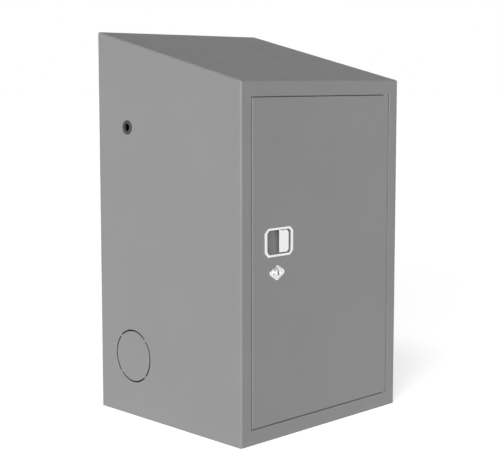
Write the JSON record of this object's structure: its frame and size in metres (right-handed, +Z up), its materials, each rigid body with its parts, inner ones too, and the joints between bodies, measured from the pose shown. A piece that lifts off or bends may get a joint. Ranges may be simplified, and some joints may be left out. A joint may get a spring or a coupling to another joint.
{
  "type": "standpipe cabinet",
  "caption": "Free-standing sheet-steel standpipe cabinet with a sloping roof, an inset side-hinged door, a flush paddle latch, a cam lock, round side knock-outs and an inner hose saddle.",
  "frame": {"origin": "centre of the footprint, on the underside of the floor panel", "axes": "+X to the right of someone facing the door, +Y from the door towards the wall, +Z up"},
  "size_m": [0.6025, 0.561, 1.035],
  "materials": {
    "cabinet_paint": "satin powder coat",
    "galvanised_steel": "galvanised, dull",
    "zinc_plated": "zinc plated",
    "bright_steel": "ground",
    "dark_coating": "satin dark grey",
    "polished_chrome": "polished",
    "rubber_black": "matte",
    "nylon": "moulded"
  },
  "bodies": {
    "cabinet": {"left_side_panel": "cabinet_paint", "right_side_panel": "cabinet_paint", "roof_panel": "cabinet_paint", "floor_panel": "cabinet_paint", "back_panel": "cabinet_paint", "left_knockout": "cabinet_paint", "right_knockout": "cabinet_paint", "cable_grommet": "rubber_black", "door_gasket": "rubber_black", "top_hinge_bracket": "galvanised_steel", "top_pivot_pin": "bright_steel", "bottom_hinge_bracket": "galvanised_steel", "bottom_pivot_pin": "bright_steel", "strike_plate": "zinc_plated", "strike_rivets": "zinc_plated", "hose_saddle": "galvanised_steel", "saddle_nuts": "zinc_plated"},
    "door": {"door_panel": "cabinet_paint", "door_stiffener": "galvanised_steel", "top_hinge_bush": "nylon", "bottom_hinge_bush": "nylon", "latch_bezel": "polished_chrome", "latch_dish": "dark_coating", "latch_nuts": "zinc_plated", "paddle_pin": "bright_steel", "latch_case": "galvanised_steel", "rocker_stud": "bright_steel", "rocker_spring": "bright_steel", "lock_rosette": "polished_chrome", "lock_barrel": "polished_chrome", "lock_nut": "zinc_plated"},
    "paddle": {"latch_paddle": "polished_chrome"},
    "rocker": {"latch_rocker": "zinc_plated"},
    "bolt": {"latch_bolt": "zinc_plated"},
    "lock": {"lock_plug": "polished_chrome", "lock_cam": "zinc_plated", "cam_screw": "zinc_plated"}
  },
  "joints": [
    {"name": "door_hinge", "type": "hinge", "parent": "cabinet", "child": "door", "pos_m": [0.2535, -0.271, 0.4525], "axis": [0, 0, 1], "range_deg": [0, 110]},
    {"name": "paddle_pull", "type": "hinge", "parent": "door", "child": "paddle", "pos_m": [-0.1345, -0.269, 0.5045], "axis": [0, 0, 1], "range_deg": [0, 35], "stiffness_Nm_per_rad": 0.3, "springref_deg": -17.19},
    {"name": "rocker_turn", "type": "hinge", "parent": "door", "child": "rocker", "pos_m": [-0.1425, -0.2555, 0.5015], "axis": [0, -1, 0], "range_deg": [0, 35]},
    {"name": "bolt_slide", "type": "slide", "parent": "door", "child": "bolt", "axis": [1, 0, 0], "range_m": [0, 0.0126]},
    {"name": "lock_turn", "type": "hinge", "parent": "door", "child": "lock", "pos_m": [-0.1757, -0.2675, 0.4273], "axis": [0, 1, 0], "range_deg": [0, 90]}
  ],
  "couplings": [
    {"joint": "paddle_pull", "follows": "bolt_slide", "rad_per_m": 48.481},
    {"joint": "rocker_turn", "follows": "bolt_slide", "rad_per_m": 48.481}
  ]
}
